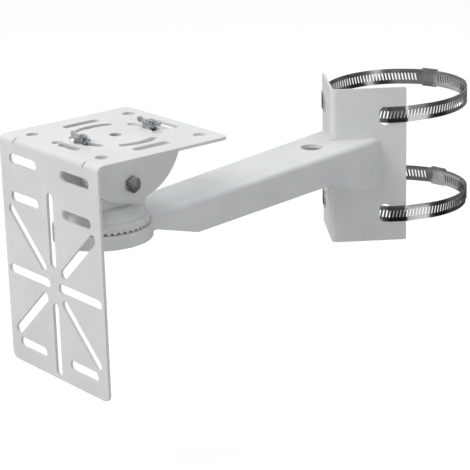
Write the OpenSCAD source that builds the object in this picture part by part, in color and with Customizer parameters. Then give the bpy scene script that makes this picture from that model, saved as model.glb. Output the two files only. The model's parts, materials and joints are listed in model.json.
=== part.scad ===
// Camera corner mount: a right-angled corner plate strapped to a pole by two worm-drive
// clamps, a tapered arm, a turret that pans and tilts, and an L-shaped camera plate.
// Millimetres. The origin is on the pole's axis, level with the middle of the corner
// plate. +Z is up and the arm points along -Y.

/* [Pole] */
// Outside diameter of the pole that the clamps close on, a 4 inch pipe
pole_d = 114.3; // [100:0.1:130]

/* [Corner plate] */
// Thickness of the folded sheet
corner_t = 2; // [1.5:0.1:3]
// Width of each leaf, from the sharp outer corner to the free edge
corner_w = 59; // [55:0.5:75]
// Height of the corner plate
corner_h = 124; // [110:1:160]
// Outside radius of the fold
corner_bend_r = 4.5; // [3.5:0.1:8]
// Radius of the free corners
corner_r = 1.5; // [1:0.5:10]
// Width of a strap slot
strap_slot_w = 8.5; // [8:0.5:10]
// Height of a strap slot
strap_slot_h = 15; // [14:0.5:20]
// Distance of a strap slot's middle from the sharp outer corner
strap_slot_from_corner = 42.2; // [40:0.1:46]
// Distance of a strap slot's middle from the plate's nearer end
strap_slot_from_end = 22.5; // [14:0.1:30]

/* [Arm] */
// Distance of the pan axis from the corner plate's sharp outer corner
arm_reach = 252.5; // [210:0.5:320]
// Height of the arm's top above the corner plate's middle
arm_top_z = 21.8; // [10:0.1:35]
// Depth of the arm's sides along its level stretch
arm_side_h = 23.8; // [20:0.1:34]
// Width of the arm at the corner plate's sharp corner
arm_root_w = 53; // [44:0.5:60]
// Width of the arm at the pan axis
arm_tip_w = 39; // [30:0.5:44]
// Wall thickness of the arm
arm_wall = 3; // [2.5:0.1:5]
// Radius of the arm's long top edges
arm_edge_r = 4; // [2:0.5:6]
// How far each side leans outward from its top to its bottom
arm_draft = 1; // [0:0.1:2]
// Distance from the sharp corner at which the underside starts to rise to the cup
arm_rise_from_corner = 180; // [150:1:200]
// Distance from the sharp corner at which the sides start to deepen towards the root
root_flare_from_corner = 34; // [20:1:50]
// How much deeper the sides are at their ends on the corner plate's leaves
root_flare_h = 19.2; // [8:0.1:30]
// Diameter of the cable hole in the arm's top
cable_hole_d = 17; // [10:0.5:22]
// Distance of the cable hole from the sharp outer corner
cable_hole_from_corner = 24.5; // [20:0.5:60]

/* [End cup] */
// Outside radius of the cup that carries the turret
cup_r = 34.5; // [33:0.1:40]
// Height of the cup's rim
cup_h = 9.7; // [8:0.1:16]
// Depth of the cup's seat below the arm's top
cup_seat_drop = 1.9; // [0:0.1:3]
// Thickness of the cup's floor
cup_floor = 4; // [3:0.1:6]
// Thickness of the cup's rim
cup_wall = 4; // [3:0.1:6]

/* [Turret] */
// Radius of the turret's collar
collar_r = 32.5; // [30:0.1:32.9]
// Height of the collar
collar_h = 6; // [4:0.1:7]
// Radius of the turret's body above the collar
turret_r = 28; // [24:0.1:30]
// Number of notches round the collar's lower rim
notch_count = 45; // [24:1:60]
// Height of a notch
notch_h = 1.9; // [1:0.1:2.5]
// Width of a notch at its mouth
notch_w = 3.2; // [2:0.1:3.5]
// Running gap between the turret and the cup's seat
seat_gap = 0.2; // [0:0.05:0.4]
// Radius of the rounded ear that the tilt bolt passes through
ear_r = 17; // [12:0.5:20]
// Turn of the head about the pan axis, as it stands
head_turn = -9.7; // [-60:0.1:60]

/* [Tilt yoke] */
// Sheet thickness of the yoke
yoke_t = 2.5; // [2:0.1:3]
// Width of the yoke over its two cheeks
yoke_w = 33; // [30:0.5:36]
// Radius of a cheek's round lower edge
cheek_r = 43.4; // [42:0.1:46]
// Outside radius of the yoke's two folds
yoke_bend_r = 4; // [3.5:0.1:6]
// Running gap between each cheek and the turret's ear
cheek_gap = 0.3; // [0.1:0.05:0.5]
// Distance of the tilt axis behind the pan axis, towards the pole
tilt_offset = 14.3; // [8:0.1:15]
// Height of the tilt axis above the arm's top
tilt_axis_h = 25.7; // [25:0.1:30]

/* [Camera plate] */
// Thickness of the folded sheet
plate_t = 2; // [1.5:0.1:3]
// Width along the fold
plate_w = 116; // [114:1:140]
// Depth of the top, from the fold's outer face
plate_d = 108.5; // [105:0.5:130]
// Length of the leg, from the top's upper face
leg_h = 163; // [163:1:180]
// Outside radius of the fold
plate_bend_r = 4.2; // [3:0.1:6]
// Radius of the free corners
plate_corner_r = 5.5; // [2:0.5:8]
// Distance of the centre hole from the fold's outer face
centre_hole_back = 56.2; // [54:0.1:60]
// Height of the plate's upper face above the tilt axis
plate_h = 31.6; // [31:0.1:36]
// Diameter of the round holes
round_hole_d = 8.8; // [5:0.1:9]
// Half spacing of the four corner holes, both ways
corner_hole_s = 40.5; // [40:0.1:42]
// Width of every straight slot
slot_w = 7.2; // [5:0.1:7.4]
// Length of the straight slots in the top
top_slot_l = 29.5; // [20:0.5:32]
// Width of the curved slots
arc_slot_w = 6; // [5.4:0.1:6.5]
// Radius of the curved slots about the centre hole
arc_slot_r = 28.6; // [27:0.1:30]
// Half angle of the left and right curved slots, between the middles of their round ends
arc_half_angle = 26; // [20:1:30]
// Half angle of the front and rear curved slots, which the two bolts slide in
swivel_half_angle = 32; // [26:1:34]

/* [Leg slots] */
// Length of the level slots
leg_slot_l = 33; // [20:0.5:33]
// Distance of the level slots' middles from the leg's middle
leg_slot_x = 30.6; // [27:0.1:34]
// Depth of the first row of level slots below the top
leg_row_1 = 14.4; // [12:0.1:18]
// Depth of the second row
leg_row_2 = 41.4; // [38:0.1:42]
// Depth of the last row
leg_row_3 = 148; // [147:0.1:150]
// Depth of the star of slots' centre below the top
star_depth = 95.3; // [94:0.1:97]
// Inner and outer reach of the star's upright slots
star_upright = [12.5, 65.5]; // [12:0.5:66]
// Inner and outer reach of its level slots
star_level = [5, 55]; // [5:0.5:55]
// Inner and outer reach of its slanted slots
star_slant = [13, 68.5]; // [13:0.5:69]
// Angle of the slanted slots from level
star_angle = 42.5; // [40:0.5:45]

/* [Fasteners] */
// Diameter of the pan bolt
pan_bolt_d = 10; // [8:0.5:12]
// Depth of the pan bolt's thread in the turret
pan_bolt_depth = 22; // [14:1:24]
// Diameter of the tilt bolt, a quarter inch
tilt_bolt_d = 6.35; // [5:0.05:7]
// Diameter of the camera plate's two bolts
plate_bolt_d = 5; // [4:0.5:5]
// Span of a wing nut over its wings
wing_span = 23; // [16:0.5:24]
// Height of a wing nut's wings
wing_h = 5; // [4.5:0.1:6]
// Running clearance of a shaft in its hole, on the radius
run_fit = 0.06; // [0.02:0.01:0.1]

/* [Clamps] */
// Width of the clamp band
band_w = 12.7; // [8:0.1:13.5]
// Thickness of the clamp band
band_t = 0.65; // [0.5:0.05:0.8]
// Gap between a band's layers, and between a band and the corner plate
band_gap = 0.15; // [0.1:0.05:0.4]
// Tilt of the upper clamp, whose far side sits higher
upper_tilt = 1.75; // [0:0.25:2]
// Angle of the upper clamp's housing round the pole, from +X
upper_housing_at = 97; // [60:1:100]
// Angle of the lower clamp's housing round the pole, from +X
lower_housing_at = 88; // [60:1:100]
// Length of the band's loose tail, as an angle round the pole
tail_angle = 50; // [20:1:60]
// Length of a clamp's housing along the band
housing_l = 13; // [11:0.5:16]
// Sheet thickness of a housing
housing_t = 0.8; // [0.6:0.1:1]
// Outside diameter of a clamp screw's thread
worm_d = 6.8; // [5:0.1:8]
// Width of a clamp screw's hexagon head across its flats
worm_head_af = 7; // [5.5:0.1:8]

/* [Hidden] */
$fn = 96;

white_paint = "#e9ebea";
zinc = "#c3c6c8";
dark_zinc = "#6e7172";
stainless = "#a9abac";

// Facets of a hull's own round children
hull_fn = 32;
// Overlap of a cutter past the face that it cuts
over = 1;
// Gap between a band's edge and its slot's outer end
slot_play = 0.35;
// Gap that keeps a fastener's shank off its hole where neither turns
shank_gap = 0.05;

pole_r = pole_d / 2;
corner_y = -(pole_r + corner_t) * sqrt(2);
pan_y = corner_y - arm_reach;
slot_z = corner_h / 2 - strap_slot_from_end;
// Height of a band's middle in its slots: it lies towards its slot's outer end
band_z = slot_z + (strap_slot_h - band_w) / 2 - slot_play;
slot_y = corner_y + strap_slot_from_corner / sqrt(2);
arm_bottom_z = arm_top_z - arm_side_h;
cup_top_z = arm_top_z - cup_seat_drop;
cup_floor_z = cup_top_z - cup_floor;
cup_bottom_z = cup_top_z - cup_h;
turret_z = cup_top_z + seat_gap;
collar_top_z = turret_z + collar_h;
tilt_z = arm_top_z + tilt_axis_h;
plate_z = tilt_z + plate_h;
web_z = plate_z - plate_t;
cheek_inner = yoke_w / 2 - yoke_t;
ear_half = cheek_inner - cheek_gap;
fold_y = tilt_offset - centre_hole_back;

// Distance from the middle to the corners of a hexagon of a given width across flats
function hex_r(af) = af / sqrt(3);
// A plan or side point at a radius and an angle
function polar(r, a) = [r * cos(a), r * sin(a)];
function rotated(v, a) = [v[0] * cos(a) - v[1] * sin(a), v[0] * sin(a) + v[1] * cos(a)];
function unit2(v) = v / norm(v);
function left_of(v) = [-v[1], v[0]];

// A slot with round ends, its length along X
module obround(length, width) {
    square([length - width, width], center = true);
    for (side = [-1, 1])
        translate([side * (length - width) / 2, 0])
            circle(d = width);
}

// A slot with round ends that runs outward from one radius to another
module radial_slot(reach, width) {
    translate([(reach[0] + reach[1]) / 2, 0])
        obround(reach[1] - reach[0], width);
}

// A curved slot about the origin, centred on +X
module arc_slot(radius, half_angle, width) {
    rotate(-half_angle)
        intersection() {
            difference() {
                circle(r = radius + width / 2);
                circle(r = radius - width / 2);
            }
            polygon([[0, 0], polar(2 * radius, 0), polar(2 * radius, half_angle),
                polar(2 * radius, 2 * half_angle)]);
        }
    for (side = [-1, 1])
        translate(polar(radius, side * half_angle))
            circle(d = width);
}

// A flat leaf of sheet from X = start to X = end, its two far corners rounded
module leaf_outline(start, end, height, radius) {
    translate([start, -height / 2 + radius])
        square([end - start, height - 2 * radius]);
    translate([start, -height / 2])
        square([end - start - radius, height]);
    for (side = [-1, 1])
        translate([end - radius, side * (height / 2 - radius)])
            circle(r = radius);
}

// A quarter fold of sheet along Z, in the quarter where X and Y are both negative
module fold(radius, thickness, length) {
    rotate(180)
        rotate_extrude(angle = 90)
            translate([radius - thickness, -length / 2])
                square([thickness, length]);
}

// A hexagonal head or nut that stands on Z = 0
module hexagon(af, height) {
    cylinder(r = hex_r(af), h = height, $fn = 6);
}

// A flat washer or a spring washer seen as a ring that stands on Z = 0
module ring(outer_d, inner_d, height) {
    difference() {
        cylinder(d = outer_d, h = height);
        translate([0, 0, -over])
            cylinder(d = inner_d, h = height + 2 * over);
    }
}

// Puts what is drawn on a leaf of the corner plate in its place: X runs from the sharp
// corner, Y is height and Z = 0 is the outer face
module on_leaf(side) {
    mirror([side < 0 ? 1 : 0, 0, 0])
        translate([0, corner_y, 0])
            rotate(45)
                rotate([90, 0, 0])
                    children();
}

module corner_plate() {
    color(white_paint) {
        for (side = [-1, 1])
            on_leaf(side)
                translate([0, 0, -corner_t])
                    linear_extrude(corner_t)
                        difference() {
                            leaf_outline(corner_bend_r, corner_w, corner_h, corner_r);
                            for (end = [-1, 1])
                                translate([strap_slot_from_corner, end * slot_z])
                                    rotate(90)
                                        obround(strap_slot_h, strap_slot_w);
                        }
        translate([0, corner_y, 0])
            rotate(45)
                translate([corner_bend_r, corner_bend_r, 0])
                    fold(corner_bend_r, corner_t, corner_h);
    }
}

// How far the arm's outline runs past the sharp corner, and the power of its root's curve
root_past = arm_root_w / 2 + 6;
root_flare_power = 1.35;
// Wall left round the recess that the turret turns in
recess_wall = 1;

// The arm's cross-section at one end: upright sides that lean out, and a round-edged top
module arm_section(half_w, drop) {
    rotate([90, 0, 0])
        linear_extrude(0.01, center = true) {
            for (side = [-1, 1])
                translate([side * (half_w - arm_edge_r), arm_top_z - arm_edge_r])
                    circle(r = arm_edge_r, $fn = hull_fn);
            translate([-half_w - arm_draft, arm_top_z - drop])
                square([2 * (half_w + arm_draft), 0.01]);
        }
}

// The arm's outside or inside, before its underside is shaped: inset is the wall's
// thickness on the inside and 0 on the outside
module arm_taper(inset, drop) {
    taper = (arm_root_w - arm_tip_w) / 2 / arm_reach;
    hull() {
        translate([0, pan_y, -inset])
            arm_section(arm_tip_w / 2 - inset, drop);
        translate([0, corner_y + root_past, -inset])
            arm_section(arm_root_w / 2 + taper * root_past - inset, drop);
    }
}

// The side view of the arm's walls: Y is the distance in front of the pole's axis and
// the walls deepen in a curve towards the corner plate
module arm_side_view() {
    flare_y = corner_y - root_flare_from_corner;
    end_y = corner_y + root_past;
    flare = [for (i = [0:8]) let (t = i / 8)
        [flare_y + (end_y - flare_y) * t,
            arm_bottom_z - root_flare_h * (1 - pow(1 - t, root_flare_power))]];
    polygon(concat(
        [[pan_y, arm_top_z + over], [pan_y, cup_bottom_z],
            [corner_y - arm_reach + cup_r - cup_wall / 2, cup_bottom_z],
            [corner_y - arm_rise_from_corner, arm_bottom_z]],
        flare, [[end_y, arm_top_z + over]]));
}

module arm() {
    arm_drop = arm_side_h + root_flare_h + over;
    color(white_paint)
        difference() {
            union() {
                intersection() {
                    arm_taper(0, arm_drop);
                    rotate([90, 0, 90])
                        linear_extrude(2 * arm_root_w, center = true)
                            arm_side_view();
                }
                translate([0, pan_y, cup_bottom_z])
                    cylinder(r = cup_r, h = cup_h);
            }
            // The channel inside the arm, closed at the cup's rim
            difference() {
                arm_taper(arm_wall, arm_drop + over);
                translate([0, pan_y, arm_bottom_z - arm_drop])
                    cylinder(r = cup_r, h = 3 * arm_drop);
            }
            // The corner plate's outside
            translate([0, corner_y, -corner_h])
                rotate(45)
                    cube([3 * arm_root_w, 3 * arm_root_w, 2 * corner_h]);
            // The round recess that the turret turns in
            translate([0, pan_y, cup_top_z])
                cylinder(r = cup_r - recess_wall, h = arm_side_h);
            // The pocket under the cup's floor
            translate([0, pan_y, cup_bottom_z - over])
                cylinder(r = cup_r - cup_wall, h = cup_h - cup_floor + over);
            translate([0, pan_y, cup_bottom_z - over])
                cylinder(d = pan_bolt_d + 2 * run_fit, h = cup_h + 2 * over);
            translate([0, corner_y - cable_hole_from_corner, arm_top_z - arm_wall - over])
                cylinder(d = cable_hole_d, h = arm_wall + 2 * over);
        }
}

// Puts what is drawn in the head's own frame in its place: X runs across the head, Y
// points towards the pole and the pan axis is X = Y = 0
module on_head() {
    translate([0, pan_y, 0])
        rotate(head_turn)
            children();
}

// Draws along X what is drawn as a side view of the head: its X is the head's Y and its Y
// is height
module across_head(width) {
    rotate([90, 0, 90])
        linear_extrude(width, center = true)
            children();
}

// The turret's bevels, and the height of its shoulder above the collar
collar_bevel = 1.2;
neck_step = 0.4;
neck_fillet = 1;
neck_draft = 0.6;
shoulder_h = 4;
shoulder_bevel = 2.5;
// The raised round pad on the shoulder
pad_r = 20;
pad_h = 2;
// Where the ear's flanks start, as shares of the turret's radius, and how deep they sink
ear_front_share = 0.62;
ear_rear_share = 0.86;
ear_sink = 2;
notch_depth = 3;
// Gap between the pan bolt's end and the bottom of its hole
pan_end_gap = 2;

module turret() {
    shoulder_z = collar_top_z + shoulder_h;
    pad_z = shoulder_z + neck_step + pad_h;
    // Half width of a notch's cutter where it starts, below the rim
    notch_mouth = notch_w / 2 * (notch_h + over) / notch_h;
    ear_base_z = collar_top_z - ear_sink;
    front = [-turret_r * ear_front_share, ear_base_z];
    rear = [turret_r * ear_rear_share, ear_base_z];
    centre = [tilt_offset, tilt_z];
    // Where a straight flank from a base point meets the round ear, just inside its tangent
    flank_inset = 0.15;
    flank_r = ear_r - flank_inset;
    front_turn = acos(flank_r / norm(front - centre));
    rear_turn = acos(flank_r / norm(rear - centre));
    front_touch = centre + flank_r * rotated(unit2(front - centre), -front_turn);
    rear_touch = centre + flank_r * rotated(unit2(rear - centre), rear_turn);
    color(white_paint)
        on_head()
            difference() {
                union() {
                    rotate_extrude()
                        polygon([[0, turret_z], [collar_r, turret_z],
                            [collar_r, collar_top_z - collar_bevel],
                            [collar_r - collar_bevel, collar_top_z],
                            [turret_r + neck_fillet, collar_top_z + neck_step],
                            [turret_r, collar_top_z + neck_step + neck_fillet],
                            [turret_r - neck_draft, shoulder_z - neck_draft],
                            [turret_r - shoulder_bevel, shoulder_z + neck_step],
                            [pad_r, pad_z], [0, pad_z]]);
                    across_head(2 * ear_half) {
                        polygon([front, rear, rear_touch, centre, front_touch]);
                        translate(centre)
                            circle(r = ear_r);
                    }
                }
                // Notches in the collar's lower rim
                for (i = [0:notch_count - 1])
                    rotate(i * 360 / notch_count)
                        translate([collar_r - notch_depth, 0, turret_z])
                            rotate([90, 0, 90])
                                linear_extrude(notch_depth + over)
                                    polygon([[-notch_mouth, -over], [notch_mouth, -over],
                                        [0, notch_h]]);
                // Threaded hole for the pan bolt
                translate([0, 0, turret_z - over])
                    cylinder(d = pan_bolt_d + 2 * shank_gap, h = pan_bolt_depth + over);
                // Hole for the tilt bolt
                translate([0, tilt_offset, tilt_z])
                    rotate([0, 90, 0])
                        cylinder(d = tilt_bolt_d + 2 * run_fit, h = yoke_w, center = true);
            }
}

// Width across flats of a bolt's head, as a share of the bolt's diameter
head_af_share = 1.6;
pan_washer_h = 2;
pan_lock_h = 2.2;
pan_head_h = 6.4;
pan_washer_z = cup_floor_z - pan_washer_h;
pan_lock_z = pan_washer_z - pan_lock_h;
pan_head_z = pan_lock_z - pan_head_h;

module pan_washer() {
    color(zinc)
        on_head()
            translate([0, 0, pan_washer_z])
                ring(2 * pan_bolt_d, pan_bolt_d + 2 * shank_gap, pan_washer_h);
}

module pan_lock_washer() {
    color(zinc)
        on_head()
            translate([0, 0, pan_lock_z])
                ring(1.75 * pan_bolt_d, pan_bolt_d + 2 * shank_gap, pan_lock_h);
}

module pan_bolt() {
    color(zinc)
        on_head()
            translate([0, 0, pan_head_z]) {
                hexagon(head_af_share * pan_bolt_d, pan_head_h);
                cylinder(d = pan_bolt_d,
                    h = turret_z + pan_bolt_depth - pan_end_gap - pan_head_z);
            }
}

// Half length of the yoke's web, and the hole in it under the plate's centre hole
web_half_l = 36;
yoke_hole_d = 13;
// Depth of the cheeks' round edge's centre below the plate's upper face
cheek_drop = 1;

// The yoke: a channel of sheet whose sides are cut to half discs
module tilt_yoke() {
    inner_r = yoke_bend_r - yoke_t;
    color(white_paint)
        on_head()
            difference() {
                intersection() {
                    translate([0, tilt_offset, 0])
                        rotate([90, 0, 0])
                            linear_extrude(3 * cheek_r, center = true)
                                difference() {
                                    channel_outline(yoke_w / 2, web_z, yoke_bend_r);
                                    channel_outline(cheek_inner, web_z - yoke_t, inner_r);
                                }
                    translate([0, tilt_offset, plate_z - cheek_drop])
                        rotate([0, 90, 0])
                            cylinder(r = cheek_r, h = 2 * yoke_w, center = true);
                }
                translate([0, tilt_offset, tilt_z])
                    rotate([0, 90, 0])
                        cylinder(d = tilt_bolt_d + 2 * shank_gap, h = 2 * yoke_w, center = true);
                for (end = [-1, 1])
                    translate([0, tilt_offset + end * arc_slot_r, web_z - yoke_t - over])
                        cylinder(d = plate_bolt_d + 2 * shank_gap, h = yoke_t + 2 * over);
                translate([0, tilt_offset, web_z - yoke_t - over])
                    cylinder(d = yoke_hole_d, h = yoke_t + 2 * over);
                // The web ends short of the straight slots above it
                for (end = [-1, 1])
                    translate([0, tilt_offset + end * (web_half_l + cheek_r / 2), web_z])
                        cube([yoke_w - 2 * yoke_bend_r - over, cheek_r, 3 * yoke_t],
                            center = true);
            }
}

// A channel's filled end view, its two upper corners rounded
module channel_outline(half_w, top, radius) {
    translate([-half_w, top - 2 * cheek_r])
        square([2 * half_w, 2 * cheek_r - radius]);
    translate([-half_w + radius, top - 2 * cheek_r])
        square([2 * (half_w - radius), 2 * cheek_r]);
    for (side = [-1, 1])
        translate([side * (half_w - radius), top - radius])
            circle(r = radius);
}

// Puts what stands on Z = 0 on a cheek's outer face, round the tilt axis
module on_cheek(side) {
    on_head()
        translate([side * yoke_w / 2, tilt_offset, tilt_z])
            rotate([0, side * 90, 0])
                children();
}

tilt_head_h = 3;
tilt_washer_h = 1.6;
tilt_lock_h = 1.6;
tilt_nut_h = 5.6;
tilt_af = 1.65 * tilt_bolt_d;
tilt_past_nut = 2;

module tilt_bolt() {
    shank = yoke_w + tilt_washer_h + tilt_lock_h + tilt_nut_h + tilt_past_nut;
    color(dark_zinc)
        on_cheek(1) {
            hexagon(tilt_af, tilt_head_h);
            translate([0, 0, -shank])
                cylinder(d = tilt_bolt_d, h = shank + over);
        }
}

module tilt_washer() {
    color(zinc)
        on_cheek(-1)
            ring(2.2 * tilt_bolt_d, tilt_bolt_d + 2 * shank_gap, tilt_washer_h);
}

module tilt_lock_washer() {
    color(zinc)
        on_cheek(-1)
            translate([0, 0, tilt_washer_h])
                ring(1.8 * tilt_bolt_d, tilt_bolt_d + 2 * shank_gap, tilt_lock_h);
}

module tilt_nut() {
    color(zinc)
        on_cheek(-1)
            translate([0, 0, tilt_washer_h + tilt_lock_h])
                difference() {
                    hexagon(tilt_af, tilt_nut_h);
                    translate([0, 0, -over])
                        cylinder(d = tilt_bolt_d + 2 * shank_gap, h = tilt_nut_h + 2 * over);
                }
}

// The openings in the camera plate's top, about the centre hole
module top_openings() {
    circle(d = round_hole_d);
    for (x = [-1, 1], y = [-1, 1])
        translate([x * corner_hole_s, y * corner_hole_s])
            circle(d = round_hole_d);
    for (quarter = [0:3])
        rotate(90 * quarter) {
            translate([corner_hole_s, 0])
                rotate(90)
                    obround(top_slot_l, slot_w);
            arc_slot(arc_slot_r, quarter % 2 == 0 ? arc_half_angle : swivel_half_angle,
                arc_slot_w);
        }
}

// The openings in the camera plate's leg, with Y = 0 at the top's upper face
module leg_openings() {
    for (side = [-1, 1], row = [leg_row_1, leg_row_2, leg_row_3])
        translate([side * leg_slot_x, -row])
            obround(leg_slot_l, slot_w);
    translate([0, -star_depth]) {
        for (turn = [90, 270])
            rotate(turn)
                radial_slot(star_upright, slot_w);
        for (turn = [0, 180])
            rotate(turn)
                radial_slot(star_level, slot_w);
        for (turn = [star_angle, 180 - star_angle, 180 + star_angle, -star_angle])
            rotate(turn)
                radial_slot(star_slant, slot_w);
    }
}

module camera_plate() {
    color(white_paint)
        on_head() {
            // The top
            translate([0, fold_y, plate_z - plate_t])
                linear_extrude(plate_t)
                    difference() {
                        rotate(90)
                            leaf_outline(plate_bend_r, plate_d, plate_w, plate_corner_r);
                        translate([0, centre_hole_back])
                            top_openings();
                    }
            // The leg
            translate([0, fold_y + plate_t, plate_z])
                rotate([90, 0, 0])
                    linear_extrude(plate_t)
                        difference() {
                            rotate(-90)
                                leaf_outline(plate_bend_r, leg_h, plate_w, plate_corner_r);
                            leg_openings();
                        }
            // The fold between them
            translate([0, fold_y + plate_bend_r, plate_z - plate_bend_r])
                rotate([0, 90, 0])
                    fold(plate_bend_r, plate_t, plate_w);
        }
}

plate_washer_h = 1;
wing_hub_h = 3.6;
plate_bolt_head_h = 3.5;
plate_past_nut = 0.9;

// Places the camera plate's two fasteners: end is -1 at the fold and 1 at the free edge
module on_plate_bolt(end, height) {
    on_head()
        translate([0, tilt_offset + end * arc_slot_r, height])
            children();
}

module plate_bolts() {
    shank = yoke_t + plate_t + plate_washer_h + wing_hub_h + plate_past_nut;
    color(zinc)
        for (end = [-1, 1])
            on_plate_bolt(end, web_z - yoke_t) {
                translate([0, 0, -plate_bolt_head_h])
                    hexagon(head_af_share * plate_bolt_d, plate_bolt_head_h);
                translate([0, 0, -over])
                    cylinder(d = plate_bolt_d, h = shank + over);
            }
}

module plate_washers() {
    color(zinc)
        for (end = [-1, 1])
            on_plate_bolt(end, plate_z)
                ring(2 * plate_bolt_d, plate_bolt_d + 2 * shank_gap, plate_washer_h);
}

// How each wing nut stands, turned from the head's width
front_nut_at = -4;
rear_nut_at = 5;

// A wing nut that stands on Z = 0, its wings along X
module wing_nut() {
    wing_t = 1.8;
    tip_r = 1.9;
    tip = [wing_span / 2 - tip_r, wing_h - tip_r];
    hub_r = plate_bolt_d * 0.9;
    // A wing's root inside the hub, and where its edges meet its round tip
    root_x = hub_r * 0.8;
    root_z = [0.6, wing_hub_h - 0.4];
    tip_low = tip + polar(tip_r, -50);
    tip_high = tip + polar(tip_r, 100);
    difference() {
        union() {
            cylinder(r = hub_r, h = wing_hub_h);
            for (side = [0, 1])
                mirror([side, 0, 0])
                    rotate([90, 0, 0])
                        linear_extrude(wing_t, center = true) {
                            translate(tip)
                                circle(r = tip_r);
                            polygon([[root_x, root_z[0]], tip_low, tip_high,
                                [root_x, root_z[1]]]);
                        }
        }
        translate([0, 0, -over])
            cylinder(d = plate_bolt_d + 2 * run_fit, h = wing_h + 2 * over);
    }
}

module front_wing_nut() {
    color(zinc)
        on_plate_bolt(-1, plate_z + plate_washer_h)
            rotate(front_nut_at)
                wing_nut();
}

module rear_wing_nut() {
    color(zinc)
        on_plate_bolt(1, plate_z + plate_washer_h)
            rotate(rear_nut_at)
                wing_nut();
}

// Radius of a band's middle surface round the pole
loop_r = pole_r + band_t / 2;
// Step outward where the band laps over its own end in the housing
lap = band_t + band_gap;
// Half of a housing's length, as an angle round the pole
housing_angle = housing_l / 2 / loop_r * 180 / PI;
// Length of the ramp from the inner layer to the outer one, as an angle, and its points
ramp_angle = 14;
ramp_steps = 8;
// Length of a strip's end tongues, as an angle, and their share of the band's thickness
tongue_angle = 1;
tongue_share = 0.7;
// Distance of a round stretch's end from the strip that it takes the tongue of
seam_angle = 0.3;
// Angle at which the band crosses a leaf in its slot
slot_cross_angle = 22;
// How far the band's own end stays back from the housing's edge
inner_end_angle = 2;

// A point in plan on the right leaf: s from the sharp corner, out from its outer face
function on_leaf_plan(s, out) =
    [0, corner_y] + rotated([s, -out], 45);

// Where a straight run from a point touches the circle of the loop, on its turn side
function touch_angle(p, turn) =
    atan2(p[1], p[0]) + turn * acos(loop_r / norm(p));

// The mitred normal at each point of an open path; its two ends are given
function path_normals(path, first, last) = [for (i = [0:len(path) - 1])
    i == 0 ? first : i == len(path) - 1 ? last :
        let (a = left_of(unit2(path[i] - path[i - 1])),
            b = left_of(unit2(path[i + 1] - path[i])))
        (a + b) / (1 + a * b)];

// A band of even thickness along an open path. Its two ends are thinner tongues that run
// into the round stretches next to it
module strip(path, first, last) {
    normals = path_normals(path, first, last);
    ends = len(path) - 1;
    half = [for (i = [0:ends]) (i == 0 || i == ends ? tongue_share : 1) * band_t / 2];
    polygon(concat(
        [for (i = [0:ends]) path[i] - normals[i] * half[i]],
        [for (i = [ends:-1:0]) path[i] + normals[i] * half[i]]));
}

// A round stretch of band between two angles
module band_arc(radius, from, to) {
    steps = ceil((to - from) / 45);
    intersection() {
        difference() {
            circle(r = radius + band_t / 2);
            circle(r = radius - band_t / 2);
        }
        polygon(concat([[0, 0]],
            [for (i = [0:steps]) polar(2 * radius, from + (to - from) * i / steps)]));
    }
}

// A clamp band with Z = 0 in its slots, rising towards +Y by its tilt: round the pole, over
// the outside of each leaf, in through its slot and across the corner; it laps over its own
// end in the housing
module clamp_band(at, tilt) {
    color(stainless)
        intersection() {
            linear_extrude(3 * band_w, center = true)
                band_plan(at);
            translate([0, slot_y, 0])
                rotate([tilt, 0, 0])
                    cube([4 * pole_d, 4 * pole_d, band_w], center = true);
        }
}

// A band's course seen from above
module band_plan(at) {
    off = band_gap + band_t / 2;
    reach = (corner_t / 2 + off) / tan(slot_cross_angle);
    edge = on_leaf_plan(corner_w, off);
    outside = on_leaf_plan(strap_slot_from_corner + reach, off);
    inside = on_leaf_plan(strap_slot_from_corner - reach, -corner_t - off);
    free = touch_angle(edge, 1);
    near = touch_angle(inside, -1);
    right_path = [polar(loop_r, near - tongue_angle), polar(loop_r, near), inside, outside,
        edge, polar(loop_r, free), polar(loop_r, free + tongue_angle)];
    left_path = [for (i = [len(right_path) - 1:-1:0]) [-right_path[i][0], right_path[i][1]]];
    outer_end = at + housing_angle;
    inner_start = outer_end + ramp_angle;
    strip(right_path, polar(-1, near - tongue_angle), polar(-1, free + tongue_angle));
    strip(left_path, polar(-1, 180 - free - tongue_angle),
        polar(-1, 180 - near + tongue_angle));
    band_arc(loop_r, -180 - near + seam_angle, near - seam_angle);
    // The inner layer, from its end in the housing round to the right leaf
    band_arc(loop_r, free + seam_angle, outer_end - inner_end_angle);
    // The rest of the turn, from the left leaf to the ramp
    band_arc(loop_r, inner_start + seam_angle, 180 - free - seam_angle);
    // The ramp up to the outer layer
    strip(concat([polar(loop_r + lap, outer_end - tongue_angle)],
        [for (i = [0:ramp_steps]) ramp_point(outer_end, i / ramp_steps)],
        [polar(loop_r, inner_start + tongue_angle)]),
        polar(-1, outer_end - tongue_angle), polar(-1, inner_start + tongue_angle));
    // The outer layer and its loose tail
    band_arc(loop_r + lap, at - tail_angle, outer_end - seam_angle);
}

// A point of the ramp's middle line: t runs from the outer layer to the inner one
function ramp_point(from, t) =
    polar(loop_r + lap * (1 + cos(180 * t)) / 2, from + ramp_angle * t);

// Puts what is drawn in a housing's frame in its place: X points away from the pole, Y
// runs along the band and X = 0 is the outer layer's outer face
module on_band(at) {
    rotate(at)
        translate([loop_r + lap + band_t / 2, 0, 0])
            children();
}

// Height of the screw's axis over the band, and of the housing's upright feet
worm_x = worm_d / 2 + 0.5;
foot_h = 1.3;
// Overlap of the arch's flanks with the feet
foot_lap = 0.1;

// A clamp housing: a sheet saddle over both layers of band and the screw, whose feet end
// just off the pole
module clamp_housing(at) {
    foot_x = -(band_t + lap) + band_gap;
    half_in = band_w / 2 + band_gap;
    color(stainless)
        on_band(at)
            rotate([90, 0, 0])
                difference() {
                    linear_extrude(housing_l, center = true)
                        housing_outline(foot_x, half_in + housing_t,
                            worm_d / 2 + band_gap + housing_t);
                    linear_extrude(housing_l + 2 * over, center = true)
                        housing_outline(foot_x - over, half_in, worm_d / 2 + run_fit);
                }
}

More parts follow.
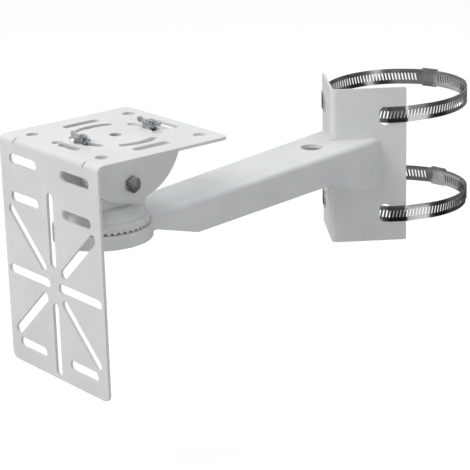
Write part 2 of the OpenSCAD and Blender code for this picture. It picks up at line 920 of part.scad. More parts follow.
// A housing's end view: flat against the band, arched over the screw
module housing_outline(back, half, arch_r) {
    translate([back, -half])
        square([foot_h - back, 2 * half]);
    polygon([[foot_h - foot_lap, -half], [worm_x, -arch_r], [worm_x, arch_r],
        [foot_h - foot_lap, half]]);
    translate([worm_x, 0])
        circle(r = arch_r);
}

module clamp_screw(at) {
    head_h = 6;
    flange_h = 1.2;
    // The thread's reach past the housing, and the flange's and the hexagon's laps
    thread_past = 0.4;
    flange_lap = 0.1;
    hexagon_lap = 0.2;
    slot_w = 1.2;
    slot_depth = 1.6;
    color(zinc)
        on_band(at)
            translate([worm_x, 0, 0])
                rotate([-90, 0, 0]) {
                    translate([0, 0, -housing_l / 2])
                        cylinder(d = worm_d, h = housing_l + thread_past);
                    translate([0, 0, housing_l / 2 + thread_past - flange_lap])
                        difference() {
                            union() {
                                cylinder(r = hex_r(worm_head_af), h = flange_h);
                                translate([0, 0, flange_h - hexagon_lap])
                                    hexagon(worm_head_af, head_h - flange_h + hexagon_lap);
                            }
                            translate([-worm_head_af, -slot_w / 2, head_h - slot_depth])
                                cube([2 * worm_head_af, slot_w, 2 * slot_depth]);
                        }
                }
}

// Puts a clamp's housing or screw at the height of its band, which rises with the tilt
module at_height(side, at, tilt) {
    translate([0, 0, side * band_z + (loop_r * sin(at) - slot_y) * tan(tilt)])
        children();
}

module upper_band() {
    translate([0, 0, band_z])
        clamp_band(upper_housing_at, upper_tilt);
}

module upper_housing() {
    at_height(1, upper_housing_at, upper_tilt)
        clamp_housing(upper_housing_at);
}

module upper_screw() {
    at_height(1, upper_housing_at, upper_tilt)
        clamp_screw(upper_housing_at);
}

module lower_band() {
    translate([0, 0, -band_z])
        clamp_band(lower_housing_at, 0);
}

module lower_housing() {
    at_height(-1, lower_housing_at, 0)
        clamp_housing(lower_housing_at);
}

module lower_screw() {
    at_height(-1, lower_housing_at, 0)
        clamp_screw(lower_housing_at);
}

corner_plate();
arm();
turret();
pan_bolt();
pan_lock_washer();
pan_washer();
tilt_yoke();
tilt_bolt();
tilt_washer();
tilt_lock_washer();
tilt_nut();
camera_plate();
plate_bolts();
plate_washers();
front_wing_nut();
rear_wing_nut();
upper_band();
upper_housing();
upper_screw();
lower_band();
lower_housing();
lower_screw();
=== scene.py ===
import json
import math

import bpy
import numpy as np
from mathutils import Matrix, Vector


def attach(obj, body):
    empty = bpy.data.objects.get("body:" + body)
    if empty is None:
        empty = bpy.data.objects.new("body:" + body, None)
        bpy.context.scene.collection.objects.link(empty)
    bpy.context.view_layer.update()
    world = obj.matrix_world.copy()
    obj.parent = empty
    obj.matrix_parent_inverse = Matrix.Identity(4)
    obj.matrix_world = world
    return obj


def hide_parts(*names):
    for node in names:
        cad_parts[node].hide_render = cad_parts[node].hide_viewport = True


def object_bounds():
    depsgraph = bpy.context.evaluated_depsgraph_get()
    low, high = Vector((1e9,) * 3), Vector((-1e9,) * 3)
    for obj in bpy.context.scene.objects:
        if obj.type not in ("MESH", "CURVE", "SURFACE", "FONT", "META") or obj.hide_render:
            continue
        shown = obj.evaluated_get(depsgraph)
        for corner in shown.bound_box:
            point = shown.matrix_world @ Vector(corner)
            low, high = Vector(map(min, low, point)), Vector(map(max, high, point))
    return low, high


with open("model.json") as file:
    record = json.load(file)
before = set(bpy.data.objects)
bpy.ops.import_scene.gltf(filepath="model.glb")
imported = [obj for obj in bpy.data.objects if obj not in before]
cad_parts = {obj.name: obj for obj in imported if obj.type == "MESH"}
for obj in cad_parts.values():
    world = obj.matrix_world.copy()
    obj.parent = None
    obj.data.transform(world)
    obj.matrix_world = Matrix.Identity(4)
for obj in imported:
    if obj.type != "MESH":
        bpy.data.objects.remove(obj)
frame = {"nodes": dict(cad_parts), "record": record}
cad_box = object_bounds()

MM = 0.001

# Sizes of the clamp bands, as the frame has them
POLE_R = 57.15 * MM
CORNER_T = 2.0 * MM
CORNER_W = 59.0 * MM
STRAP_SLOT = 42.2 * MM
BAND_W = 12.7 * MM
BAND_T = 0.65 * MM
BAND_GAP = 0.15 * MM
SLOT_CROSS = math.radians(22)
HOUSING_L = 13.0 * MM
RAMP = math.radians(14)
TAIL = math.radians(50)
INNER_END = math.radians(2)
UPPER_AT = math.radians(97)
LOWER_AT = math.radians(88)
UPPER_LEAN = math.radians(1.75)
BAND_Z = 40.3 * MM

SLOT_Y = -(POLE_R + CORNER_T) * math.sqrt(2) + STRAP_SLOT * math.sqrt(0.5)
# Slope of a band's rolled margins at its edges
BAND_ROLL = 0.13

# Perforations: slanted slots that the screw's thread drives
PITCH = 2.75 * MM
SLOT_HALF_L = 3.1 * MM
SLOT_HALF_W = 0.62 * MM
SLOT_SLANT = -math.tan(math.radians(12))
BLANK_BY_HOUSING = 6.0 * MM

# The head and its fasteners, as the frame has them
HEAD_TURN = math.radians(-9.7)
PAN_Y = -336.151 * MM
TILT_Y = 14.3 * MM
TILT_Z = 47.5 * MM
YOKE_W = 33.0 * MM
YOKE_T = 2.5 * MM
PLATE_Z = 79.1 * MM
PLATE_T = 2.0 * MM
FOLD_Y = -41.9 * MM
ARC_SLOT_R = 28.6 * MM
TILT_D = 6.35 * MM
TILT_AF = 1.65 * TILT_D
TILT_HEAD_H = 3.0 * MM
TILT_WASHER_H = 1.6 * MM
TILT_NUT_H = 5.6 * MM
TILT_PITCH = 1.27 * MM
PLATE_BOLT_D = 5.0 * MM
PLATE_HEAD_H = 3.5 * MM
PLATE_SHANK = 10.0 * MM
PLATE_PITCH = 0.8 * MM
PAN_D = 10.0 * MM
PAN_HEAD_H = 6.4 * MM
PAN_LOCK_H = 2.2 * MM
PAN_LOCK_Z = 11.7 * MM
PAN_SHANK = 28.4 * MM
PAN_PITCH = 1.5 * MM
# Darts pressed across the camera plate's fold
DART_X = 41.0 * MM
DART_L = 5.5 * MM

# Where the photograph was taken from, and the camera's own directions
CAMERA_AT = Vector((0.86749, -1.18163, 0.40159))
CAMERA_RIGHT = Vector((0.754655, 0.655608, -0.025946))
CAMERA_UP = Vector((-0.184564, 0.250062, 0.950476))
CAMERA_LENS = 142.1
SENSOR = 36.0
FLOOR_DROP = 0.09
# Screens that only metal mirrors: name, first and last direction in plan, and how bright
# the foot on the floor, the wall's lower part and its upper part are
SCREEN_PROFILE = ((0.10, -0.165), (0.52, -0.165), (0.52, -0.095), (0.52, 0.22))
SCREENS = (("rear", -195.0, -128.0, (0.70, 0.90, 0.90)),
           ("left", -128.0, -78.0, (0.20, 0.36, 0.40)),
           ("front", -78.0, -30.0, (0.01, 0.03, 0.10)),
           ("upper_card", -30.0, -12.0, (0.01, 0.03, 1.6)),
           ("lower_card", -12.0, -1.0, (1.6, 1.6, 0.16)),
           ("near", -1.0, 34.0, (0.01, 0.02, 0.10)),
           ("right", 34.0, 100.0, (0.08, 0.20, 0.24)),
           ("side", 100.0, 165.0, (0.12, 0.16, 0.20)))


def linear(hex_colour):
    """Turns an sRGB hex colour to linear red, green, blue and alpha."""
    values = [int(hex_colour[i:i + 2], 16) / 255 for i in (1, 3, 5)]
    return [v / 12.92 if v <= 0.04045 else ((v + 0.055) / 1.055) ** 2.4 for v in values] + [1.0]


def add_node(tree, kind, settings=None, links=None):
    """Adds a node, sets its properties and socket values, and links its inputs."""
    node = tree.nodes.new(kind)
    for key, value in (settings or {}).items():
        if isinstance(key, str) and hasattr(node, key):
            setattr(node, key, value)
        else:
            node.inputs[key].default_value = value
    for key, source in (links or {}).items():
        tree.links.new(source, node.inputs[key])
    return node


def new_material(name, **sockets):
    """A material with one Principled shader, whose sockets are set by name."""
    material = bpy.data.materials.new(name)
    material.use_nodes = True
    shader = material.node_tree.nodes["Principled BSDF"]
    for key, value in sockets.items():
        shader.inputs[key.replace("_", " ")].default_value = value
    return material, material.node_tree, shader


def object_coordinates(tree):
    return add_node(tree, "ShaderNodeTexCoord").outputs["Object"]


def math_node(tree, operation, *inputs):
    """The result of one sum on values and sockets."""
    node = add_node(tree, "ShaderNodeMath", {"operation": operation})
    for index, value in enumerate(inputs):
        if isinstance(value, (int, float)):
            node.inputs[index].default_value = value
        else:
            tree.links.new(value, node.inputs[index])
    return node.outputs[0]


def dart_height(tree, place):
    """Depth of the two darts pressed across the camera plate's fold, in metres, below 0.

    With a the distance from a dart's middle across the plate and d the distance from the
    fold's sharp corner along either face, it is min(0, 1.3 a - 0.5 (DART_L - d)).
    """
    parts = add_node(tree, "ShaderNodeSeparateXYZ", {}, {0: place}).outputs
    cos, sin = math.cos(HEAD_TURN), math.sin(HEAD_TURN)
    y = math_node(tree, "SUBTRACT", parts["Y"], PAN_Y)
    across = math_node(tree, "ADD", math_node(tree, "MULTIPLY", parts["X"], cos),
                       math_node(tree, "MULTIPLY", y, sin))
    ahead = math_node(tree, "ADD", math_node(tree, "MULTIPLY", parts["X"], -sin),
                      math_node(tree, "MULTIPLY", y, cos))
    aside = math_node(tree, "ABSOLUTE", math_node(
        tree, "SUBTRACT", math_node(tree, "ABSOLUTE", across), DART_X))
    from_corner = math_node(tree, "ADD", math_node(tree, "SUBTRACT", ahead, FOLD_Y),
                            math_node(tree, "SUBTRACT", PLATE_Z, parts["Z"]))
    deep = math_node(tree, "MULTIPLY", math_node(tree, "SUBTRACT", DART_L, from_corner), 0.5)
    slope = math_node(tree, "MULTIPLY", aside, 1.3)
    return math_node(tree, "MINIMUM", math_node(tree, "SUBTRACT", slope, deep), 0.0)


def white_powder_coat(name, darts=False):
    """Polyester powder coat on steel: a soft even white with a fine orange-peel surface."""
    material, tree, shader = new_material(name, Roughness=0.42, IOR=1.5)
    place = object_coordinates(tree)
    # Slow variation in the film, a few centimetres across
    film = add_node(tree, "ShaderNodeTexNoise", {"Scale": 28.0, "Detail": 2.0}, {"Vector": place})
    tint = add_node(tree, "ShaderNodeValToRGB", {}, {"Fac": film.outputs["Fac"]})
    tint.color_ramp.elements[0].position = 0.35
    tint.color_ramp.elements[0].color = linear("#E4E6E6")
    tint.color_ramp.elements[1].position = 0.65
    tint.color_ramp.elements[1].color = linear("#EAECEB")
    tree.links.new(tint.outputs["Color"], shader.inputs["Base Color"])
    # Orange peel, about 1.2 mm from crest to crest
    peel = add_node(tree, "ShaderNodeTexNoise", {"Scale": 820.0, "Detail": 1.0}, {"Vector": place})
    edge = add_node(tree, "ShaderNodeBevel", {"samples": 6, "Radius": 0.45 * MM})
    bump = add_node(tree, "ShaderNodeBump", {"Strength": 0.10, "Distance": 0.12 * MM},
                    {"Height": peel.outputs["Fac"], "Normal": edge.outputs["Normal"]})
    if darts:
        bump = add_node(tree, "ShaderNodeBump", {"Strength": 1.0, "Distance": 1.0},
                        {"Height": dart_height(tree, place), "Normal": bump.outputs["Normal"]})
    tree.links.new(bump.outputs["Normal"], shader.inputs["Normal"])
    return material


def plated_metal(name, light, dark, roughness, edge_radius):
    """Electroplated steel: a cool metal with faint cloudy patches a few millimetres wide."""
    material, tree, shader = new_material(name, Metallic=1.0, Roughness=roughness)
    place = object_coordinates(tree)
    cloud = add_node(tree, "ShaderNodeTexNoise", {"Scale": 420.0, "Detail": 3.0}, {"Vector": place})
    tint = add_node(tree, "ShaderNodeValToRGB", {}, {"Fac": cloud.outputs["Fac"]})
    tint.color_ramp.elements[0].position = 0.3
    tint.color_ramp.elements[0].color = linear(dark)
    tint.color_ramp.elements[1].position = 0.7
    tint.color_ramp.elements[1].color = linear(light)
    tree.links.new(tint.outputs["Color"], shader.inputs["Base Color"])
    spread = add_node(tree, "ShaderNodeMapRange",
                      {"To Min": roughness - 0.06, "To Max": roughness + 0.08},
                      {"Value": cloud.outputs["Fac"]})
    tree.links.new(spread.outputs["Result"], shader.inputs["Roughness"])
    edge = add_node(tree, "ShaderNodeBevel", {"samples": 6, "Radius": edge_radius})
    tree.links.new(edge.outputs["Normal"], shader.inputs["Normal"])
    return material


def rolled_height(tree, place):
    """Height of a band's rolled surface: - BAND_ROLL v v / BAND_W, in metres.

    v is the height over the band's middle, which is BAND_Z + (y - SLOT_Y) tan(UPPER_LEAN)
    on the upper band and - BAND_Z on the lower one.
    """
    parts = add_node(tree, "ShaderNodeSeparateXYZ", {}, {0: place}).outputs
    upper = math_node(tree, "GREATER_THAN", parts["Z"], 0.0)
    rise = math_node(tree, "MULTIPLY", math_node(tree, "SUBTRACT", parts["Y"], SLOT_Y),
                     math.tan(UPPER_LEAN))
    middle = math_node(tree, "MULTIPLY", upper,
                       math_node(tree, "ADD", rise, 2 * BAND_Z))
    v = math_node(tree, "SUBTRACT", math_node(tree, "ADD", parts["Z"], BAND_Z), middle)
    return math_node(tree, "MULTIPLY", math_node(tree, "MULTIPLY", v, v),
                     -BAND_ROLL / BAND_W)


def stainless_strip():
    """Cold-rolled stainless strip: bright, with fine rolling lines along the band."""
    material, tree, shader = new_material("stainless_strip", Metallic=1.0, Roughness=0.2)
    place = object_coordinates(tree)
    # Lines lie level, so the pattern is squeezed upright: about 0.3 mm from line to line
    squeeze = add_node(tree, "ShaderNodeMapping", {"Scale": (60.0, 60.0, 3300.0)},
                       {"Vector": place})
    lines = add_node(tree, "ShaderNodeTexNoise", {"Scale": 1.0, "Detail": 2.0},
                     {"Vector": squeeze.outputs["Vector"]})
    tint = add_node(tree, "ShaderNodeValToRGB", {}, {"Fac": lines.outputs["Fac"]})
    tint.color_ramp.elements[0].position = 0.3
    tint.color_ramp.elements[0].color = linear("#A2A4A5")
    tint.color_ramp.elements[1].position = 0.7
    tint.color_ramp.elements[1].color = linear("#BDBFC0")
    tree.links.new(tint.outputs["Color"], shader.inputs["Base Color"])
    rolled = add_node(tree, "ShaderNodeBump", {"Strength": 1.0, "Distance": 1.0},
                      {"Height": rolled_height(tree, place)})
    bump = add_node(tree, "ShaderNodeBump", {"Strength": 0.06, "Distance": 0.02 * MM},
                    {"Height": lines.outputs["Fac"], "Normal": rolled.outputs["Normal"]})
    tree.links.new(bump.outputs["Normal"], shader.inputs["Normal"])
    return material


def paint(obj, material):
    obj.data.materials.clear()
    obj.data.materials.append(material)


def grid_object(name, points, wrap_u=False, wrap_v=False, holes=None, caps=()):
    """A mesh from a grid of points[v, u]: one quad a cell, joined round where it wraps.

    holes marks cells that are left open, and caps names the rows, 0 or -1, that a fan
    round their middle closes.
    """
    rows, columns = points.shape[:2]
    index = np.arange(rows * columns).reshape(rows, columns)
    v0 = index if wrap_v else index[:-1]
    v1 = np.roll(index, -1, 0) if wrap_v else index[1:]
    if wrap_u:
        quads = np.stack([v0, np.roll(v0, -1, 1), np.roll(v1, -1, 1), v1], -1)
    else:
        quads = np.stack([v0[:, :-1], v0[:, 1:], v1[:, 1:], v1[:, :-1]], -1)
    if holes is not None:
        quads = quads[~holes]
    vertices = points.reshape(-1, 3)
    faces = quads.reshape(-1, 4).tolist()
    for row in caps:
        middle = len(vertices)
        vertices = np.vstack([vertices, points[row].mean(0)])
        rim = index[row]
        after = np.roll(rim, -1)
        fan = (np.stack([after, rim, np.full_like(rim, middle)], -1) if row == 0
               else np.stack([rim, after, np.full_like(rim, middle)], -1))
        faces += fan.tolist()
    mesh = bpy.data.meshes.new(name)
    mesh.from_pydata(vertices.tolist(), [], faces)
    mesh.validate()
    obj = bpy.data.objects.new(name, mesh)
    bpy.context.scene.collection.objects.link(obj)
    return obj


def place_mesh(obj, matrix):
    """Moves a piece by its mesh, so that its object stays at the origin."""
    obj.data.transform(matrix)
    return obj


def join_pieces(name, pieces):
    """Puts several meshes in one object."""
    vertices, faces = [], []
    for piece in pieces:
        base = len(vertices)
        vertices += [tuple(v.co) for v in piece.data.vertices]
        faces += [[base + i for i in p.vertices] for p in piece.data.polygons]
        bpy.data.objects.remove(piece)
    mesh = bpy.data.meshes.new(name)
    mesh.from_pydata(vertices, [], faces)
    obj = bpy.data.objects.new(name, mesh)
    bpy.context.scene.collection.objects.link(obj)
    return obj


def shade_by_angle(obj, degrees=35):
    """Smooth shading that keeps every edge sharper than the angle."""
    obj.data.shade_smooth()
    obj.data.set_sharp_from_angle(angle=math.radians(degrees))


def turn(path, angle):
    """A point at each radius and angle."""
    return np.stack([path * np.cos(angle), path * np.sin(angle)], -1)


def band_line(housing_at):
    """The band's middle line seen from above, as points about 0.6 mm apart.

    It starts at the inner end in the housing and runs clockwise: a circle round the pole,
    straight to the right leaf's edge, in through its slot, round the pole's near side, out
    at the left, round the far side, up the ramp and over the housing to its tail.
    """
    loop = POLE_R + BAND_T / 2
    lap = BAND_T + BAND_GAP
    corner = np.array([0.0, -(POLE_R + CORNER_T) * math.sqrt(2)])
    off = BAND_GAP + BAND_T / 2
    reach = (CORNER_T / 2 + off) / math.tan(SLOT_CROSS)

    def on_leaf(s, out):
        return corner + np.array([s + out, s - out]) * math.sqrt(0.5)

    def touch(point, side):
        return (math.atan2(point[1], point[0])
                + side * math.acos(loop / np.linalg.norm(point)))

    edge = on_leaf(CORNER_W, off)
    outside = on_leaf(STRAP_SLOT + reach, off)
    inside = on_leaf(STRAP_SLOT - reach, -CORNER_T - off)
    free = touch(edge, 1)
    near = touch(inside, -1)
    half = HOUSING_L / 2 / loop
    outer_end = housing_at + half

    def arc(radius, start, end):
        steps = int(abs(end - start) * radius / (0.6 * MM)) + 2
        return turn(np.full(steps, radius), np.linspace(start, end, steps))

    ramp = np.linspace(0, 1, 12)
    right = [edge, outside, inside]
    left = [p * np.array([-1, 1]) for p in right[::-1]]
    line = np.vstack([
        arc(loop, outer_end - INNER_END, free), right,
        arc(loop, near, -math.pi - near), left,
        arc(loop, -math.pi - free, outer_end + RAMP - 2 * math.pi),
        turn(loop + lap * (1 - np.cos(math.pi * ramp)) / 2,
             outer_end + RAMP * (1 - ramp) - 2 * math.pi)[1:],
        arc(loop + lap, outer_end - 2 * math.pi, housing_at - TAIL - 2 * math.pi)[1:]])
    return line


def along(line, at):
    """Points of a line at the given distances from its start, and the line's whole length."""
    steps = np.linalg.norm(np.diff(line, axis=0), axis=1)
    distance = np.concatenate([[0], np.cumsum(steps)])
    point = np.stack([np.interp(at, distance, line[:, i]) for i in (0, 1)], -1)
    return point, distance[-1]


def perforated_band(name, housing_at, matrix):
    """A strip bent along band_line with a slanted slot at each pitch.

    The grid's u runs along the strip and v across it. A slot is the cell between two
    columns, which lean with v and draw together at the slot's two ends.
    """
    line = band_line(housing_at)
    total = along(line, np.zeros(1))[1]
    count = int((total - 3 * PITCH) / PITCH)
    start = (total - (count - 1) * PITCH) / 2
    centres = start + PITCH * np.arange(count)
    rows = np.array([-BAND_W / 2, -BAND_W / 2 + 0.4 * MM, -SLOT_HALF_L, -SLOT_HALF_L + 0.5 * MM,
                     SLOT_HALF_L - 0.5 * MM, SLOT_HALF_L, BAND_W / 2 - 0.4 * MM, BAND_W / 2])
    narrow = np.array([1, 1, 0.35, 1, 1, 0.35, 1, 1])
    lean = np.clip(rows, -SLOT_HALF_L, SLOT_HALF_L) * SLOT_SLANT
    middle = centres[None, :, None] + np.array([-1, 1]) * SLOT_HALF_W * narrow[:, None, None]
    columns = (middle + lean[:, None, None]).reshape(len(rows), -1)
    first = np.zeros((len(rows), 1))
    last = np.full((len(rows), 1), total)
    columns = np.hstack([first, columns, last])
    flat, _ = along(line, columns.ravel())
    points = np.dstack([flat.reshape(*columns.shape, 2),
                        np.broadcast_to(rows[:, None], columns.shape)])
    # Slots are open apart from a plain stretch on each side of the housing
    half = HOUSING_L / 2 + BLANK_BY_HOUSING
    tail_length = TAIL * np.linalg.norm(line[0])
    covered = np.abs(centres - (total - tail_length)) < half
    covered |= centres < HOUSING_L
    holes = np.zeros((len(rows) - 1, columns.shape[1] - 1), bool)
    holes[2:5, 1:-1:2] = ~covered
    band = grid_object(name, points, holes=holes)
    thick = band.modifiers.new("thickness", "SOLIDIFY")
    thick.thickness = BAND_T
    thick.offset = 0
    place_mesh(band, matrix)
    return band


def threaded_rod(name, diameter, pitch, start, end):
    """A rod along Z with a thread: radius = R - 0.6 pitch |2 frac(z / pitch - a / 2 pi) - 1|.

    a is the angle round the rod. The thread fades out over the last half pitch.
    """
    count = int(round((end - start) / pitch * 8)) + 1
    z = np.linspace(start, end, count)[:, None]
    angle = np.linspace(0, 2 * np.pi, 25)[None, :-1]
    wave = np.abs(2 * np.mod(z / pitch - angle / (2 * np.pi), 1.0) - 1)
    fade = np.clip((end - z) / (0.5 * pitch), 0.5, 1)
    radius = (diameter / 2 - 0.6 * pitch * wave) * (0.84 + 0.16 * fade)
    points = np.dstack([radius * np.cos(angle), radius * np.sin(angle),
                        np.broadcast_to(z, radius.shape)])
    return grid_object(name, points, wrap_u=True, caps=(0, -1))


def hexagon_prism(name, af, height, both_ends=False):
    """A bolt's head or a nut on Z = 0 with a 30 degree chamfer.

    The radius is the lesser of the hexagon, af / (2 cos b) with b the angle from the flat's
    middle, and the chamfer's cone, 0.47 af + distance from the end / tan 30.
    """
    angle = np.linspace(0, 2 * np.pi, 73)[None, :-1]
    from_flat = np.mod(angle, np.pi / 3) - np.pi / 6
    hexagon = af / 2 / np.cos(from_flat)
    reach = (1 / math.sqrt(3) - 0.47) * af * math.tan(math.radians(30))
    low = np.array([0.0]) if not both_ends else np.linspace(0, reach, 6)
    z = np.concatenate([low, np.linspace(height - reach, height, 6)])[:, None]
    from_end = np.minimum(height - z, z if both_ends else height)
    cone = 0.47 * af + from_end / math.tan(math.radians(30))
    radius = np.minimum(hexagon, cone)
    points = np.dstack([radius * np.cos(angle), radius * np.sin(angle),
                        np.broadcast_to(z, radius.shape)])
    return grid_object(name, points, wrap_u=True, caps=(0, -1))


def split_washer(name, outer, inner, height):
    """A spring washer on Z = 0: a square bar bent round, cut once, its ends 0.2 h apart.

    The bar is 0.8 of the height thick and its bottom rises by 0.2 h (a - 4) / 352 degrees.
    """
    angle = np.radians(np.linspace(4, 356, 89))
    rise = 0.2 * height * np.linspace(0, 1, 89)
    section = [(inner, 0.0), (outer, 0.0), (outer, 0.8 * height), (inner, 0.8 * height)]
    points = np.stack([np.stack([r * np.cos(angle), r * np.sin(angle), z + rise], -1)
                       for r, z in section], 1)
    return grid_object(name, points, wrap_u=True, caps=(0, -1))


def head_matrix():
    """From the head's own frame, with the pan axis at X = Y = 0, to the row's frame."""
    return Matrix.Translation((0, PAN_Y, 0)) @ Matrix.Rotation(HEAD_TURN, 4, "Z")


def cheek_matrix(side, out):
    """Z points out of a cheek along the tilt axis, from a distance out of its outer face."""
    return (head_matrix()
            @ Matrix.Translation((side * (YOKE_W / 2 + out), TILT_Y, TILT_Z))
            @ Matrix.Rotation(side * math.pi / 2, 4, "Y"))


def dress_fastener(name, pieces, matrix, material, body, node):
    """Joins pieces, puts them in place and shows them in the CAD node's stead."""
    obj = place_mesh(join_pieces(name, pieces), matrix)
    shade_by_angle(obj)
    paint(obj, material)
    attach(obj, body)
    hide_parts(node)


def make_fasteners(zinc, dark):
    """The bolts, the tilt nut and the spring washers, with threads and chamfers."""
    shank = YOKE_W + 2 * TILT_WASHER_H + TILT_NUT_H + 2.0 * MM
    dress_fastener("tilt_bolt_threaded",
                   [hexagon_prism("head", TILT_AF, TILT_HEAD_H),
                    place_mesh(threaded_rod("rod", TILT_D, TILT_PITCH, 0, shank),
                               Matrix.Rotation(math.pi, 4, "X"))],
                   cheek_matrix(1, 0), dark, "tilt_head", "tilt_bolt")
    dress_fastener("tilt_nut_chamfered",
                   [hexagon_prism("nut", TILT_AF, TILT_NUT_H, both_ends=True)],
                   cheek_matrix(-1, 2 * TILT_WASHER_H), zinc, "tilt_head", "tilt_nut")
    dress_fastener("tilt_split_washer",
                   [split_washer("ring", 0.9 * TILT_D, 0.52 * TILT_D, TILT_WASHER_H)],
                   cheek_matrix(-1, TILT_WASHER_H), zinc, "tilt_head", "tilt_lock_washer")
    dress_fastener("pan_split_washer",
                   [split_washer("ring", 0.875 * PAN_D, 0.51 * PAN_D, PAN_LOCK_H)],
                   head_matrix() @ Matrix.Translation((0, 0, PAN_LOCK_Z)), zinc, "pan_head",
                   "pan_lock_washer")
    under = head_matrix() @ Matrix.Translation((0, 0, PAN_LOCK_Z))
    dress_fastener("pan_bolt_threaded",
                   [place_mesh(hexagon_prism("head", 1.6 * PAN_D, PAN_HEAD_H),
                               Matrix.Rotation(math.pi, 4, "X")),
                    threaded_rod("rod", PAN_D, PAN_PITCH, 0, PAN_SHANK)],
                   under, zinc, "pan_head", "pan_bolt")
    pieces = []
    for end in (-1, 1):
        at = Matrix.Translation((0, TILT_Y + end * ARC_SLOT_R, PLATE_Z - PLATE_T - YOKE_T))
        pieces.append(place_mesh(hexagon_prism("head", 1.6 * PLATE_BOLT_D, PLATE_HEAD_H),
                                 at @ Matrix.Rotation(math.pi, 4, "X")))
        pieces.append(place_mesh(
            threaded_rod("rod", PLATE_BOLT_D, PLATE_PITCH, 0, PLATE_SHANK), at))
    dress_fastener("plate_bolts_threaded", pieces, head_matrix(), zinc, "tilt_head",
                   "plate_bolts")


def finish_mesh(obj):
    """Applies every modifier, so that the piece is one plain mesh."""
    graph = bpy.context.evaluated_depsgraph_get()
    mesh = bpy.data.meshes.new_from_object(obj.evaluated_get(graph))
    obj.modifiers.clear()
    obj.data = mesh
    return obj


def set_camera():
    data = bpy.data.cameras.new("camera")
    data.lens = CAMERA_LENS
    data.sensor_width = SENSOR
    data.clip_start = 0.05
    data.clip_end = 50.0
    camera = bpy.data.objects.new("camera", data)
    back = CAMERA_RIGHT.cross(CAMERA_UP)
    rotation = Matrix((CAMERA_RIGHT, CAMERA_UP, back)).transposed().to_4x4()
    camera.matrix_world = Matrix.Translation(CAMERA_AT) @ rotation
    bpy.context.scene.collection.objects.link(camera)
    bpy.context.scene.camera = camera


def seen_directly(tree):
    """1 where a ray comes from the camera, or through glass or a mirror, and 0 elsewhere."""
    ray = add_node(tree, "ShaderNodeLightPath")
    first = add_node(tree, "ShaderNodeMath", {"operation": "MAXIMUM"},
                     {0: ray.outputs["Is Camera Ray"], 1: ray.outputs["Is Glossy Ray"]})
    return add_node(tree, "ShaderNodeMath", {"operation": "MAXIMUM"},
                    {0: first.outputs[0], 1: ray.outputs["Is Transmission Ray"]}).outputs[0]


def set_world(strength):
    """Even daylight on the object, and white where the camera looks past it."""
    world = bpy.data.worlds.new("studio")
    world.use_nodes = True
    bpy.context.scene.world = world
    tree = world.node_tree
    tree.nodes.clear()
    lit = add_node(tree, "ShaderNodeBackground", {"Color": linear("#F4F7FA"), "Strength": strength})
    white = add_node(tree, "ShaderNodeBackground", {"Color": (1, 1, 1, 1), "Strength": 1.0})
    mix = add_node(tree, "ShaderNodeMixShader", {},
                   {0: seen_directly(tree), 1: lit.outputs[0], 2: white.outputs[0]})
    add_node(tree, "ShaderNodeOutputWorld", {}, {"Surface": mix.outputs[0]})


def set_floor():
    """A pale round floor below the part that shows white where no shadow falls."""
    angle = np.linspace(0, 2 * np.pi, 97)[:-1]
    low = cad_box[0][2] - FLOOR_DROP
    rings = np.array([0.4, 2.0, 9.0])[:, None]
    points = np.dstack([rings * np.cos(angle), rings * np.sin(angle) - 0.2,
                        np.full((3, 96), low)])
    floor = grid_object("floor", points, wrap_u=True, caps=(0,))
    material = bpy.data.materials.new("pale_floor")
    material.use_nodes = True
    tree = material.node_tree
    tree.nodes.clear()
    matt = add_node(tree, "ShaderNodeBsdfDiffuse", {"Color": linear("#D8D8D8")})
    shown = add_node(tree, "ShaderNodeBsdfDiffuse", {"Color": linear("#A8A8A8")})
    glow = add_node(tree, "ShaderNodeEmission", {"Color": (1, 1, 1, 1), "Strength": 0.76})
    both = add_node(tree, "ShaderNodeAddShader", {}, {0: shown.outputs[0], 1: glow.outputs[0]})
    mix = add_node(tree, "ShaderNodeMixShader", {},
                   {0: seen_directly(tree), 1: matt.outputs[0], 2: both.outputs[0]})
    add_node(tree, "ShaderNodeOutputMaterial", {}, {"Surface": mix.outputs[0]})
    floor.data.materials.append(material)


def set_screens():
    """Screens round the part that only metal mirrors, as in a photographer's tent.

    Each is a flat foot, a ring's piece just over the floor, and a wall in two parts, each
    a cylinder's piece round the pole's axis.
    """
    for name, start, end, levels in SCREENS:
        angle = np.radians(np.linspace(start, end, 13))
        for index, level in enumerate(levels):
            points = np.stack([np.stack([r * np.cos(angle), r * np.sin(angle),
                                         np.full(13, z)], -1)
                               for r, z in SCREEN_PROFILE[index:index + 2]])
            screen = grid_object(f"{name}_screen_{index}", points)
            material = bpy.data.materials.new(f"{name}_screen_{index}")
            material.use_nodes = True
            tree = material.node_tree
            tree.nodes.clear()
            glow = add_node(tree, "ShaderNodeEmission", {"Color": (level, level, level, 1.0)})
            add_node(tree, "ShaderNodeOutputMaterial", {}, {"Surface": glow.outputs[0]})
            screen.data.materials.append(material)
            screen.visible_camera = False
            screen.visible_diffuse = False
            screen.visible_transmission = False
            screen.visible_shadow = False


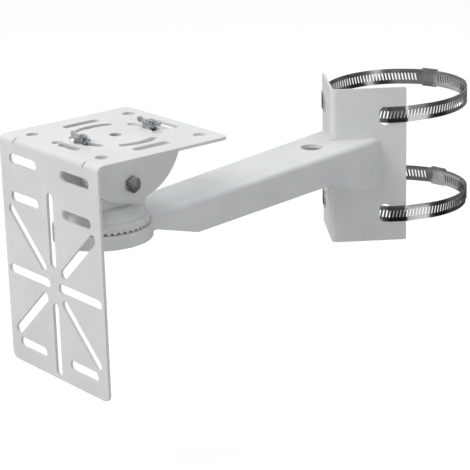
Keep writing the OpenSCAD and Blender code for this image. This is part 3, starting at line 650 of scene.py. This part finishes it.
def area_light(name, at, aim, size, power, colour):
    data = bpy.data.lights.new(name, "AREA")
    data.shape = "DISK"
    data.size = size
    data.energy = power
    data.color = linear(colour)[:3]
    light = bpy.data.objects.new(name, data)
    light.location = at
    direction = Vector(aim) - Vector(at)
    light.rotation_euler = direction.to_track_quat("-Z", "Y").to_euler()
    bpy.context.scene.collection.objects.link(light)
    return light


def set_lights():
    aim = (0.0, -0.2, 0.0)
    area_light("key", (-0.55, -1.5, 1.35), aim, 0.9, 17.0, "#FFFDFA")
    area_light("top", (0.1, 0.3, 1.7), aim, 1.2, 9.0, "#FAFCFF")
    # A low fill on the faces that look right, which metal doesn't mirror
    fill = area_light("fill", (1.15, -0.75, -0.12), (0.0, -0.1, -0.05), 0.6, 1.3, "#FFFFFF")
    fill.visible_glossy = False


def dress_frame(white, darted, zinc, dark, steel):
    """Gives every node of the frame the finish of its real material."""
    finish = {"white_powder_coat": white, "zinc_plated_steel": zinc,
              "dark_plated_steel": dark, "stainless_steel": steel}
    for part in frame["record"]["subparts"]:
        paint(frame["nodes"][part["node"]], finish[part["material_slot"]])
    paint(frame["nodes"]["camera_plate"], darted)


def make_bands(steel):
    level = Matrix.Translation((0, 0, -BAND_Z))
    # The upper band stays upright against the pole and rises towards +Y
    rise = Matrix.Identity(4)
    rise[2][1] = math.tan(UPPER_LEAN)
    leaning = Matrix.Translation((0, 0, BAND_Z - SLOT_Y * math.tan(UPPER_LEAN))) @ rise
    for name, at, lift in (("upper", UPPER_AT, leaning), ("lower", LOWER_AT, level)):
        band = perforated_band(f"{name}_perforated_band", at, lift)
        finish_mesh(band)
        shade_by_angle(band)
        paint(band, steel)
        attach(band, "bracket")
        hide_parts(f"{name}_band")


bpy.context.scene.view_settings.view_transform = "Standard"
set_camera()
set_world(0.42)
set_floor()
set_screens()
set_lights()
white = white_powder_coat("white_powder_coat")
darted = white_powder_coat("white_powder_coat_on_camera_plate", darts=True)
zinc = plated_metal("zinc_plate", "#C2C5C7", "#85888B", 0.22, 0.25 * MM)
dark = plated_metal("dark_zinc_plate", "#B4B6B7", "#7E8081", 0.44, 0.25 * MM)
steel = stainless_strip()
dress_frame(white, darted, zinc, dark, steel)
make_bands(steel)
make_fasteners(zinc, dark)
